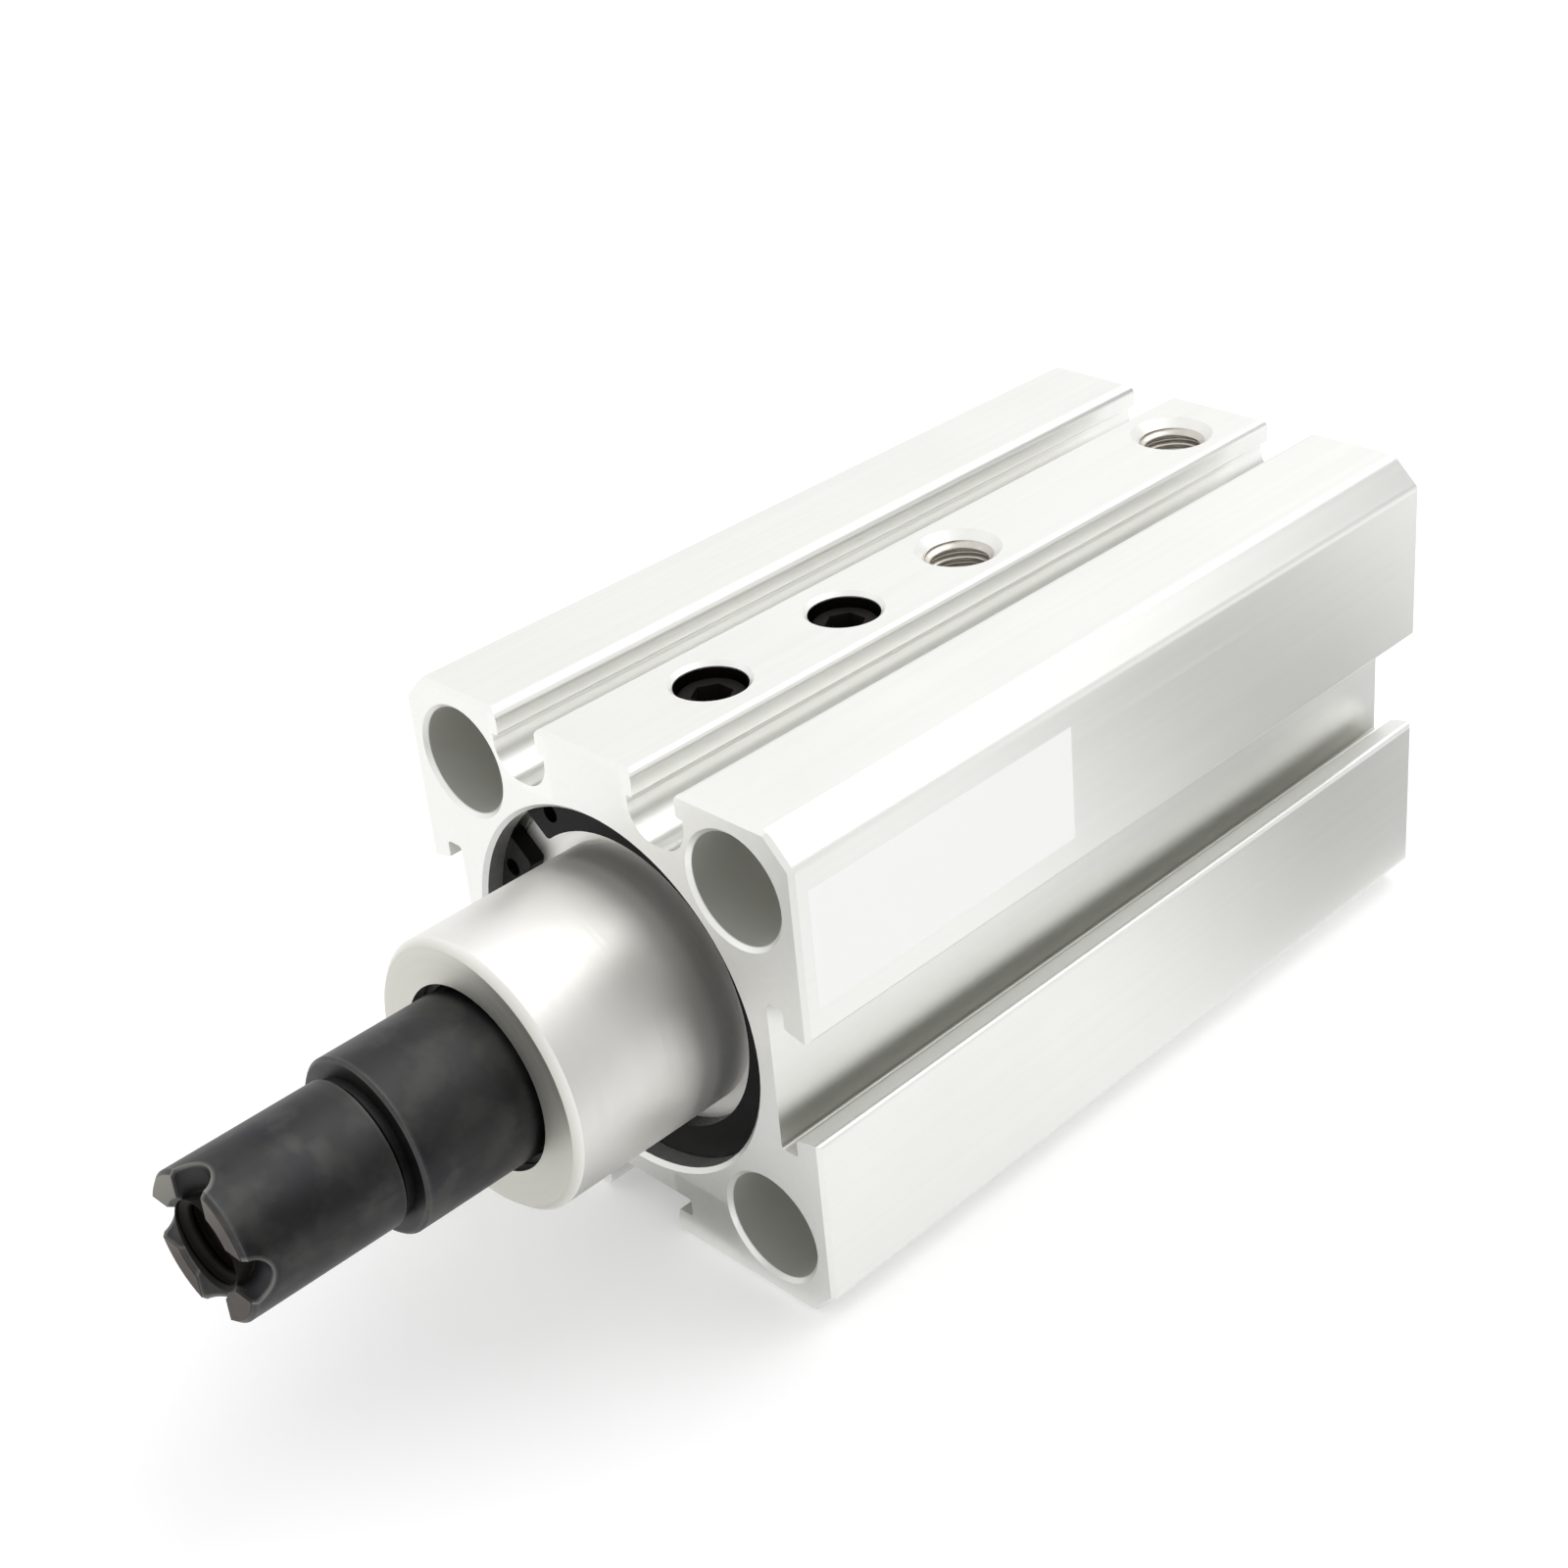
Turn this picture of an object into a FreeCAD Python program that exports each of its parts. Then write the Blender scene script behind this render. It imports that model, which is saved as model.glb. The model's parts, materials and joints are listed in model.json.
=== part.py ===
import FreeCAD, Part
import math
import os

# Rotary clamp cylinder: a double-acting air cylinder whose rod turns a quarter turn as it extends.
# Millimetres. The origin is on the rod axis at the rod-side face of the tube.
# -Y runs out along the rod, +Z is the port side and +X the labelled side. The rod is drawn in, as stored.

# Motion
stroke = 14.5
swing_degrees = 90.0

# Clearances and edge breaks
seat_clearance = 0.03
running_clearance = 0.05
end_clearance = 0.1
cam_clearance = 0.15
edge_break = 0.3
cut_overrun = 1.0

# Tube: outside of the extrusion
body_width = 36.0
corner_chamfer = 2.0
corner_round = 0.8
edge_round = 0.2
slot_opening = 7.4
slot_mouth_round = 0.4
slot_lip = 2.0
slot_lip_slope = 0.5
slot_undercut = 1.8
slot_channel = 1.4
slot_round = 0.3
bottom_slot_opening = 6.2
bottom_slot_mouth_round = 1.1
groove_centre = 6.4
groove_mouth = 3.8
groove_mouth_round = 0.8
groove_strip_round = 0.5
groove_lip = 1.8
groove_undercut = 0.6
groove_depth = 4.6
groove_round = 2.2

# Tube: holes along the axis
bolt_pitch = 25.5
bolt_hole_diameter = 4.5
counterbore_diameter = 7.6
counterbore_depth = 7.0
bore_diameter = 20.0
cover_diameter = 26.0
head_diameter = 22.0

# Port side holes, all M5
port_thread_diameter = 5.0
port_depth = 5.4
port_chamfer = 0.6
air_drill_diameter = 2.0
drill_point_degrees = 118.0
rod_port_behind_cover = 4.4
head_port_before_head = 1.1

# Rod cover
cover_recess = 1.6
cover_length = 27.6
boss_diameter = 19.0
boss_reach = 11.5
boss_chamfer = 0.5
cover_bore_diameter = 14.0
rod_mouth_diameter = 13.0
rod_mouth_wall = 0.9
seal_groove_diameter = 17.0
seal_groove_width = 3.5
cover_oring_section = 1.6
cover_oring_behind_pin = 4.2

# Rod bushing
bushing_length = 12.0

# Lock screw and guide pin
lock_screw_behind_face = 8.2
guide_pin_behind_face = 20.5
screw_sink = 1.0
screw_socket_flats = 2.5
screw_socket_depth = 2.0
guide_pin_proud = 0.2
lock_point_diameter = 3.4
lock_point_depth = 1.4
guide_pin_diameter = 4.0
guide_pin_oring_section = 0.7
guide_pin_oring_depth = 2.6

# Retaining rings
front_ring_thickness = 1.2
front_ring_groove_depth = 0.6
front_ring_width = 2.9
front_ring_gap = 3.6
front_ring_gap_degrees = 140.0
rear_ring_thickness = 1.0
rear_ring_groove_depth = 0.5
rear_ring_width = 2.4
rear_ring_gap = 3.0
rear_ring_gap_degrees = 90.0
ring_hole_diameter = 1.3
ring_hole_inset = 2.2
ring_end_round = 0.4

# Piston rod
rod_diameter = 12.0
shoulder_reach = 20.0
nose_diameter = 10.0
nose_length = 11.5
nose_chamfer = 0.3
nose_thread_diameter = 6.0
nose_thread_depth = 12.0
nose_countersink = 0.3
notch_count = 4
notch_width = 3.0
neck_width = 0.8
neck_depth = 0.25
shoulder_chamfer = 0.2
cam_groove_depth = 2.0
spigot_diameter = 8.0
spigot_length = 4.9
spigot_oring_section = 0.8

# Piston and its rings
piston_length = 12.0
piston_front_diameter = 18.0
piston_front_length = 4.3
piston_web = 2.6
magnet_from_front = 0.9
magnet_width = 2.6
magnet_depth = 2.2
seal_from_front = 5.1
seal_width = 2.3
seal_depth = 2.6
wear_from_front = 8.6
wear_width = 2.0
wear_thickness = 1.0
wear_gap = 1.0
screw_diameter = 4.0
screw_reach = 5.0
screw_head_diameter = 7.0
screw_head_height = 4.0
screw_head_flats = 3.0
screw_head_socket_depth = 2.0
screw_head_clearance = 1.0

# Bumpers and head cover
bumper_thickness = 1.5
rod_bumper_clearance = 0.3
head_bumper_diameter = 14.5
head_bumper_hole = 9.0
head_bumper_seat = 0.5
head_thickness = 3.0
head_oring_section = 1.4
head_recess = 0.9

# Stations along the axis, from the front face to the rear face
cover_face = cover_recess + front_ring_thickness
cover_rear = cover_face + cover_length
rod_bumper_rear = cover_rear + bumper_thickness
piston_front = rod_bumper_rear + end_clearance + stroke
piston_rear = piston_front + piston_length
head_bumper_front = piston_rear + end_clearance
head_front = head_bumper_front + bumper_thickness
head_rear = head_front + head_thickness
body_length = head_rear + rear_ring_thickness + head_recess
lock_screw_y = cover_face + lock_screw_behind_face
guide_pin_y = cover_face + guide_pin_behind_face
rod_port_y = cover_rear + rod_port_behind_cover
head_port_y = head_front - head_port_before_head
nose_tip = -shoulder_reach - nose_length

# Radii used by more than one piece
half_width = body_width / 2
bore_radius = bore_diameter / 2
rod_radius = rod_diameter / 2
cover_seat_radius = cover_diameter / 2
head_seat_radius = head_diameter / 2
thread_radius = port_thread_diameter / 2
cover_radius = cover_seat_radius - seat_clearance
head_radius = head_seat_radius - seat_clearance
piston_radius = bore_radius - running_clearance
guide_pin_radius = guide_pin_diameter / 2
guide_hole_radius = guide_pin_radius + seat_clearance
guide_pin_top = cover_seat_radius + guide_pin_proud
cam_floor_radius = rod_radius - cam_groove_depth
lock_point_radius = lock_point_diameter / 2
lock_point_bottom = cover_seat_radius - lock_point_depth


def vector(x, y, z):
    return FreeCAD.Vector(x, y, z)


def bar(radius, y_start, y_end, x=0.0, z=0.0):
    """A round bar along the rod axis."""
    return Part.makeCylinder(radius, y_end - y_start, vector(x, y_start, z), vector(0, 1, 0))


def tube(outer_radius, inner_radius, y_start, y_end):
    """A plain ring about the rod axis."""
    hole = bar(inner_radius, y_start - cut_overrun, y_end + cut_overrun)
    return bar(outer_radius, y_start, y_end).cut(hole)


def taper(y_start, radius_start, y_end, radius_end, x=0.0, z=0.0):
    """A cone along the rod axis, for chamfers and countersinks."""
    return Part.makeCone(radius_start, radius_end, y_end - y_start, vector(x, y_start, z), vector(0, 1, 0))


def upright(radius, y, z_low, z_high):
    """A round bar that stands on the port side, square to the rod axis."""
    return Part.makeCylinder(radius, z_high - z_low, vector(0, y, z_low), vector(0, 0, 1))


def upright_taper(y, z_low, radius_low, z_high, radius_high):
    """A cone that stands on the port side, square to the rod axis."""
    return Part.makeCone(radius_low, radius_high, z_high - z_low, vector(0, y, z_low), vector(0, 0, 1))


def turned(profile):
    """A solid turned about the rod axis from a closed outline of (radius, y) points."""
    corners = [vector(radius, y, 0) for radius, y in profile]
    outline = Part.makePolygon(corners + corners[:1])
    return Part.Face(outline).revolve(vector(0, 0, 0), vector(0, 1, 0), 360)


def extruded(outline_wire, y_start, y_end):
    """A flat outline in the XZ plane, carried along the rod axis."""
    face = Part.Face(outline_wire)
    face.translate(vector(0, y_start, 0))
    return face.extrude(vector(0, y_end - y_start, 0))


def hexagon(across_flats, depth):
    """A hexagonal bar on Z, for socket recesses; its top is at z = 0."""
    sides = 6
    corner_radius = across_flats / math.sqrt(3)
    corners = []
    for step in range(sides + 1):
        angle = 2 * math.pi * step / sides
        corners.append(vector(corner_radius * math.cos(angle), corner_radius * math.sin(angle), -depth))
    return Part.Face(Part.makePolygon(corners)).extrude(vector(0, 0, depth))


def oring(groove_radius, section, y_centre):
    """A seal ring of round section that fills its groove from the floor to the wall."""
    middle_radius = groove_radius + section / 2
    section_radius = section / 2 - seat_clearance
    return Part.makeTorus(middle_radius, section_radius, vector(0, y_centre, 0), vector(0, 1, 0))


def rounded_outline(corners):
    """A closed outline in the XZ plane from (x, z, round) corners, each rounded by a tangent arc."""
    points = [vector(x, 0, z) for x, z, radius in corners]
    turns = []
    for index, (x, z, radius) in enumerate(corners):
        point = points[index]
        before = (points[index - 1] - point).normalize()
        after = (points[(index + 1) % len(points)] - point).normalize()
        half_angle = before.getAngle(after) / 2
        reach = radius / math.tan(half_angle)
        inward = (before + after).normalize() * (radius / math.sin(half_angle) - radius)
        turns.append((point + before * reach, point + inward, point + after * reach))
    edges = []
    for index, (start, middle, end) in enumerate(turns):
        if corners[index][2] > 0:
            edges.append(Part.Arc(start, middle, end).toShape())
        edges.append(Part.makeLine(end, turns[(index + 1) % len(turns)][0]))
    return Part.Wire(edges)


def slot_lip_corners(opening, mouth_round):
    """One lip of a sensor slot, from its mouth to its floor, as (across, deep, round) corners."""
    mouth = opening / 2
    inner = mouth + slot_undercut
    return [
        (mouth, 0, mouth_round),
        (mouth + slot_lip_slope, slot_lip, edge_round),
        (inner, slot_lip, slot_round),
        (inner, slot_lip + slot_channel, slot_round),
    ]


def wire_groove_corners():
    """The lipped groove beside the port strip, as (across, deep, round) corners from left to right.

    Its floor is rounded as far as the groove's width and the depth below its lips leave room.
    """
    mouth = groove_mouth / 2
    inner = mouth + groove_undercut
    floor_round = min(groove_round, inner - edge_round, groove_depth - groove_lip - edge_round)
    return [
        (-mouth, 0, groove_strip_round),
        (-mouth, groove_lip, edge_round),
        (-inner, groove_lip, 0),
        (-inner, groove_depth, floor_round),
        (inner, groove_depth, floor_round),
        (inner, groove_lip, 0),
        (mouth, groove_lip, edge_round),
        (mouth, 0, groove_mouth_round),
    ]


def tube_section():
    """The extrusion's outline: its +X half from the port strip down to the bottom slot, then mirrored."""
    flat = half_width - corner_chamfer
    side_lip = slot_lip_corners(slot_opening, slot_mouth_round)
    bottom_lip = slot_lip_corners(bottom_slot_opening, bottom_slot_mouth_round)
    groove = wire_groove_corners()
    half = [(groove_centre + across, half_width - deep, radius) for across, deep, radius in groove]
    half += [(flat, half_width, corner_round), (half_width, flat, corner_round)]
    half += [(half_width - deep, across, radius) for across, deep, radius in side_lip]
    half += [(half_width - deep, -across, radius) for across, deep, radius in reversed(side_lip)]
    half += [(half_width, -flat, corner_round), (flat, -half_width, corner_round)]
    half += [(across, deep - half_width, radius) for across, deep, radius in bottom_lip]
    other_half = [(-x, z, radius) for x, z, radius in reversed(half)]
    return rounded_outline(half + other_half)


def air_port(y):
    """A tapped port with a chamfered mouth, a drill point and a small drilling into the bore."""
    bottom = half_width - port_depth
    point_height = thread_radius / math.tan(math.radians(drill_point_degrees / 2))
    hole = upright(thread_radius, y, bottom, half_width)
    hole = hole.fuse(upright_taper(y, half_width - port_chamfer, thread_radius,
                                   half_width, thread_radius + port_chamfer))
    hole = hole.fuse(upright_taper(y, bottom - point_height, 0, bottom, thread_radius))
    return hole.fuse(upright(air_drill_diameter / 2, y, bore_radius / 2, bottom))


def screw_hole(y):
    """A tapped hole with a broken edge that runs from the port side into the cover seat."""
    hole = upright(thread_radius, y, cover_seat_radius / 2, half_width)
    return hole.fuse(upright_taper(y, half_width - edge_break, thread_radius,
                                   half_width, thread_radius + edge_break))


def bolt_hole(x, z):
    """A through hole for a mounting screw, counterbored from both ends."""
    head_radius_cut = counterbore_diameter / 2
    hole = bar(bolt_hole_diameter / 2, 0, body_length, x, z)
    hole = hole.fuse(bar(head_radius_cut, 0, counterbore_depth, x, z))
    hole = hole.fuse(bar(head_radius_cut, body_length - counterbore_depth, body_length, x, z))
    hole = hole.fuse(taper(0, head_radius_cut + edge_break, edge_break, head_radius_cut, x, z))
    return hole.fuse(taper(body_length - edge_break, head_radius_cut,
                           body_length, head_radius_cut + edge_break, x, z))


def cylinder_tube():
    """The extruded tube, cut to length with broken end edges, bored, grooved and drilled."""
    flat = half_width - corner_chamfer
    outline = [
        (half_width, flat), (flat, half_width), (-flat, half_width), (-half_width, flat),
        (-half_width, -flat), (-flat, -half_width), (flat, -half_width), (half_width, -flat),
    ]
    corners = [vector(x, 0, z) for x, z in outline]
    blank = extruded(Part.makePolygon(corners + corners[:1]), 0, body_length)
    end_edges = [edge for edge in blank.Edges if edge.BoundBox.YLength < edge_break]
    blank = blank.makeChamfer(edge_break, end_edges)
    body = extruded(tube_section(), 0, body_length).common(blank)

    cuts = []
    cuts.append(bar(bore_radius, cover_rear - cut_overrun, head_front + cut_overrun))
    cuts.append(bar(cover_seat_radius, -cut_overrun, cover_rear))
    cuts.append(taper(0, cover_seat_radius + edge_break, edge_break, cover_seat_radius))
    cuts.append(bar(cover_seat_radius + front_ring_groove_depth,
                    cover_recess - seat_clearance, cover_face + seat_clearance))
    cuts.append(bar(head_seat_radius, head_front, body_length + cut_overrun))
    cuts.append(taper(body_length - edge_break, head_seat_radius, body_length, head_seat_radius + edge_break))
    cuts.append(bar(head_seat_radius + rear_ring_groove_depth,
                    head_rear - seat_clearance, head_rear + rear_ring_thickness + seat_clearance))
    half_pitch = bolt_pitch / 2
    for x in (-half_pitch, half_pitch):
        for z in (-half_pitch, half_pitch):
            cuts.append(bolt_hole(x, z))
    cuts.append(screw_hole(lock_screw_y))
    cuts.append(screw_hole(guide_pin_y))
    cuts.append(air_port(rod_port_y))
    cuts.append(air_port(head_port_y))
    return body.cut(cuts)


def rod_cover():
    """The turned rod cover with its boss, seal groove, bush bore, O-ring groove and two cross holes."""
    boss_radius = boss_diameter / 2
    mouth_radius = rod_mouth_diameter / 2
    seal_front = -boss_reach + rod_mouth_wall
    seal_rear = seal_front + seal_groove_width
    oring_floor = cover_seat_radius - cover_oring_section
    oring_half = cover_oring_section / 2 + end_clearance
    oring_y = guide_pin_y + cover_oring_behind_pin
    cover = turned([
        (mouth_radius, -boss_reach),
        (boss_radius - boss_chamfer, -boss_reach),
        (boss_radius, -boss_reach + boss_chamfer),
        (boss_radius, cover_face),
        (cover_radius - edge_break, cover_face),
        (cover_radius, cover_face + edge_break),
        (cover_radius, oring_y - oring_half),
        (oring_floor, oring_y - oring_half),
        (oring_floor, oring_y + oring_half),
        (cover_radius, oring_y + oring_half),
        (cover_radius, cover_rear - edge_break),
        (cover_radius - edge_break, cover_rear),
        (cover_bore_diameter / 2, cover_rear),
        (cover_bore_diameter / 2, seal_rear),
        (seal_groove_diameter / 2, seal_rear),
        (seal_groove_diameter / 2, seal_front),
        (mouth_radius, seal_front),
    ])
    guide_hole = upright(guide_hole_radius, guide_pin_y, 0, cover_seat_radius)
    point_hole = upright(lock_point_radius + seat_clearance, lock_screw_y,
                         lock_point_bottom, cover_seat_radius)
    return cover.cut([guide_hole, point_hole])


def rod_bushing():
    """The bearing bush pressed into the rod cover behind the rod seal."""
    front = -boss_reach + rod_mouth_wall + seal_groove_width
    return tube(cover_bore_diameter / 2 - seat_clearance, rod_radius + seat_clearance,
                front, front + bushing_length)


def rod_seal():
    """The rod's lip seal, with a notch that opens towards the bore and a wiping lip in front."""
    front = -boss_reach + rod_mouth_wall + end_clearance
    rear = front + seal_groove_width - 2 * end_clearance
    outer = seal_groove_diameter / 2 - seat_clearance
    inner = rod_radius + running_clearance
    middle = (outer + inner) / 2
    lip = (outer - inner) / 4
    return turned([
        (inner, front), (outer - lip, front), (outer, front + lip), (outer, rear), (middle + lip, rear),
        (middle, rear - 2 * lip), (middle - lip, rear), (inner, rear), (inner, rear - lip),
        (inner + lip / 2, (front + rear) / 2), (inner, front + lip),
    ])


def rod_cover_oring():
    """The seal ring between the rod cover and the tube."""
    return oring(cover_seat_radius - cover_oring_section, cover_oring_section,
                 guide_pin_y + cover_oring_behind_pin)


def retaining_ring(seat_radius, groove_depth, thickness, width, gap, gap_degrees, y_start):
    """An internal retaining ring of even width, with a plier hole beside each end of its gap."""
    outer_radius = seat_radius + groove_depth - seat_clearance
    middle_radius = outer_radius - width / 2
    y_end = y_start + thickness
    hole_angle = (gap / 2 + ring_hole_inset) / middle_radius
    hole_x = middle_radius * math.cos(hole_angle)
    hole_z = middle_radius * math.sin(hole_angle)
    opening = Part.makeBox(outer_radius, thickness, gap, vector(0, y_start, -gap / 2))
    ring = tube(outer_radius, outer_radius - width, y_start, y_end).cut(opening)
    corner_edges = [edge for edge in ring.Edges if edge.BoundBox.DiagonalLength < thickness + seat_clearance]
    ring = ring.makeFillet(ring_end_round, corner_edges)
    ring = ring.cut([
        bar(ring_hole_diameter / 2, y_start, y_end, hole_x, hole_z),
        bar(ring_hole_diameter / 2, y_start, y_end, hole_x, -hole_z),
    ])
    ring.rotate(vector(0, 0, 0), vector(0, 1, 0), -gap_degrees)
    return ring


def front_retaining_ring():
    """The ring that holds the rod cover in its seat."""
    return retaining_ring(cover_seat_radius, front_ring_groove_depth, front_ring_thickness,
                          front_ring_width, front_ring_gap, front_ring_gap_degrees, cover_recess)


def rear_retaining_ring():
    """The ring that holds the head cover in its seat."""
    return retaining_ring(head_seat_radius, rear_ring_groove_depth, rear_ring_thickness,
                          rear_ring_width, rear_ring_gap, rear_ring_gap_degrees, head_rear)


def set_screw(y, z_low):
    """A socket set screw below the port face, with a broken top edge and a hexagon socket."""
    radius = thread_radius - seat_clearance
    z_top = half_width - screw_sink
    screw = upright(radius, y, z_low, z_top - edge_break)
    screw = screw.fuse(upright_taper(y, z_top - edge_break, radius, z_top, radius - edge_break))
    socket = hexagon(screw_socket_flats, screw_socket_depth)
    socket.translate(vector(0, y, z_top))
    return screw.cut(socket).removeSplitter()


def cover_lock_screw():
    """The set screw whose dog point locks the rod cover."""
    screw = set_screw(lock_screw_y, cover_seat_radius + end_clearance)
    point = upright(lock_point_radius, lock_screw_y, lock_point_bottom + seat_clearance,
                    cover_seat_radius + end_clearance)
    return screw.fuse(point)


def guide_pin_screw():
    """The set screw that backs the guide pin."""
    return set_screw(guide_pin_y, guide_pin_top)


def guide_pin():
    """The pin that crosses the rod cover into the cam groove, with a seal groove on its shank."""
    z_tip = cam_floor_radius + cam_clearance
    oring_z = cover_seat_radius - guide_pin_oring_depth
    groove_half = guide_pin_oring_section / 2 + seat_clearance
    pin = upright(guide_pin_radius, guide_pin_y, z_tip + edge_break, guide_pin_top)
    pin = pin.fuse(upright_taper(guide_pin_y, z_tip, guide_pin_radius - edge_break,
                                 z_tip + edge_break, guide_pin_radius))
    groove = upright(guide_pin_radius + edge_break, guide_pin_y, oring_z - groove_half, oring_z + groove_half)
    groove = groove.cut(upright(guide_hole_radius - guide_pin_oring_section, guide_pin_y,
                                oring_z - groove_half, oring_z + groove_half))
    return pin.cut(groove).removeSplitter()


def guide_pin_oring():
    """The seal ring on the guide pin's shank."""
    middle = guide_hole_radius - guide_pin_oring_section / 2
    z = cover_seat_radius - guide_pin_oring_depth
    return Part.makeTorus(middle, guide_pin_oring_section / 2 - seat_clearance,
                          vector(0, guide_pin_y, z), vector(0, 0, 1))


def rod_bumper():
    """The stop ring on the rod cover's rear face."""
    return tube(bore_radius - rod_bumper_clearance, cover_bore_diameter / 2, cover_rear, rod_bumper_rear)


def cam_groove():
    """The cam groove's cutter: a helix about the rod with a round end at each limit of the stroke."""
    half_groove = guide_pin_radius + cam_clearance
    start = guide_pin_y
    end = guide_pin_y + stroke
    lead = stroke * 360 / swing_degrees
    path = Part.makeHelix(lead, stroke, rod_radius, 0, True)

    # The section lies square to the helix where it starts, with its long side along the radius
    rise = lead / (2 * math.pi)
    length = math.hypot(rod_radius, rise)
    along = vector(0, rise / length, rod_radius / length)
    centre_inner = vector(cam_floor_radius, 0, 0)
    centre_outer = vector(rod_radius + cut_overrun, 0, 0)
    corners = [
        centre_inner - along * half_groove,
        centre_outer - along * half_groove,
        centre_outer + along * half_groove,
        centre_inner + along * half_groove,
    ]
    section = Part.makePolygon(corners + corners[:1])
    groove = Part.Wire(path.Edges).makePipeShell([section], True, True)

    # The left-hand helix climbs on Z from +X: lay it along the rod, starting on the port side, turning to -X
    groove.rotate(vector(0, 0, 0), vector(1, 0, 0), -90)
    groove.rotate(vector(0, 0, 0), vector(0, 1, 0), -90)
    groove.translate(vector(0, start, 0))
    first = upright(half_groove, start, cam_floor_radius, rod_radius + cut_overrun)
    last = upright(half_groove, end, cam_floor_radius, rod_radius + cut_overrun)
    last.rotate(vector(0, end, 0), vector(0, 1, 0), -swing_degrees)
    return groove.fuse([first, last])


def piston_rod():
    """The rod: stepped nose with half-round end notches, tapped hole and neck, cam groove and spigot."""
    nose_radius = nose_diameter / 2
    spigot_radius = spigot_diameter / 2
    spigot_end = piston_front + spigot_length
    oring_floor = spigot_radius - spigot_oring_section
    oring_half = spigot_oring_section / 2 + seat_clearance
    oring_y = piston_front + spigot_length / 2
    rod = turned([
        (0, nose_tip),
        (nose_radius - nose_chamfer, nose_tip),
        (nose_radius, nose_tip + nose_chamfer),
        (nose_radius, -shoulder_reach - neck_width),
        (nose_radius - neck_depth, -shoulder_reach - neck_width + neck_depth),
        (nose_radius - neck_depth, -shoulder_reach),
        (rod_radius - shoulder_chamfer, -shoulder_reach),
        (rod_radius, -shoulder_reach + shoulder_chamfer),
        (rod_radius, piston_front),
        (spigot_radius, piston_front),
        (spigot_radius, oring_y - oring_half),
        (oring_floor, oring_y - oring_half),
        (oring_floor, oring_y + oring_half),
        (spigot_radius, oring_y + oring_half),
        (spigot_radius, spigot_end - edge_break),
        (spigot_radius - edge_break, spigot_end),
        (0, spigot_end),
    ])
    thread_hole_radius = nose_thread_diameter / 2
    mouth_radius = thread_hole_radius + nose_countersink
    cuts = [bar(thread_hole_radius, nose_tip, nose_tip + nose_thread_depth)]
    cuts.append(taper(nose_tip, mouth_radius, nose_tip + nose_countersink, thread_hole_radius))
    cuts.append(bar(screw_diameter / 2 + seat_clearance,
                    piston_front - screw_reach - end_clearance, spigot_end))
    for index in range(notch_count):
        notch = Part.makeCylinder(notch_width / 2, nose_radius, vector(0, nose_tip, 0), vector(1, 0, 0))
        notch.rotate(vector(0, 0, 0), vector(0, 1, 0), 360 * index / notch_count)
        cuts.append(notch)
    cuts.append(cam_groove())
    return rod.cut(cuts)


def piston():
    """The piston, with a slim front for the magnet, grooves for its rings and a recess for its screw."""
    front_radius = piston_front_diameter / 2
    bore = spigot_diameter / 2 + seat_clearance
    web_front = piston_front + spigot_length + end_clearance
    web_rear = web_front + piston_web
    recess = (screw_head_diameter + screw_head_clearance) / 2
    magnet_start = piston_front + magnet_from_front
    seal_start = piston_front + seal_from_front
    wear_start = piston_front + wear_from_front
    return turned([
        (bore, piston_front),
        (front_radius - edge_break, piston_front),
        (front_radius, piston_front + edge_break),
        (front_radius, magnet_start),
        (front_radius - magnet_depth, magnet_start),
        (front_radius - magnet_depth, magnet_start + magnet_width),
        (front_radius, magnet_start + magnet_width),
        (front_radius, piston_front + piston_front_length),
        (piston_radius, piston_front + piston_front_length),
        (piston_radius, seal_start),
        (bore_radius - seal_depth, seal_start),
        (bore_radius - seal_depth, seal_start + seal_width),
        (piston_radius, seal_start + seal_width),
        (piston_radius, wear_start),
        (bore_radius - wear_thickness, wear_start),
        (bore_radius - wear_thickness, wear_start + wear_width),
        (piston_radius, wear_start + wear_width),
        (piston_radius, piston_rear - edge_break),
        (piston_radius - edge_break, piston_rear),
        (recess, piston_rear),
        (recess, web_rear),
        (screw_diameter / 2 + seat_clearance, web_rear),
        (screw_diameter / 2 + seat_clearance, web_front),
        (bore, web_front),
    ])


def piston_oring():
    """The seal ring between the piston and the rod's spigot."""
    return oring(spigot_diameter / 2 - spigot_oring_section, spigot_oring_section,
                 piston_front + spigot_length / 2)


def piston_seal():
    """The piston's seal: a ring with a lip at each side of a shallow channel, for both directions."""
    start = piston_front + seal_from_front + running_clearance
    end = piston_front + seal_from_front + seal_width - running_clearance
    inner = bore_radius - seal_depth + running_clearance
    outer = piston_radius
    shoulder = (inner + outer) / 2
    quarter = (end - start) / 4
    return turned([
        (inner, start), (shoulder, start), (outer, start + quarter / 2), (outer, start + quarter),
        (outer - quarter, start + 2 * quarter), (outer, end - quarter), (outer, end - quarter / 2),
        (shoulder, end), (inner, end),
    ])


def wear_ring():
    """The split ring that guides the piston in the bore."""
    start = piston_front + wear_from_front + running_clearance
    end = piston_front + wear_from_front + wear_width - running_clearance
    ring = tube(bore_radius - seat_clearance, bore_radius - wear_thickness + running_clearance, start, end)
    gap = Part.makeBox(wear_gap, wear_width, bore_radius, vector(-wear_gap / 2, start, -bore_radius))
    return ring.cut(gap)


def magnet_ring():
    """The ring magnet in the piston's slim front."""
    front_radius = piston_front_diameter / 2
    start = piston_front + magnet_from_front
    return tube(front_radius - running_clearance, front_radius - magnet_depth + seat_clearance,
                start + seat_clearance, start + magnet_width - seat_clearance)


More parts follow.
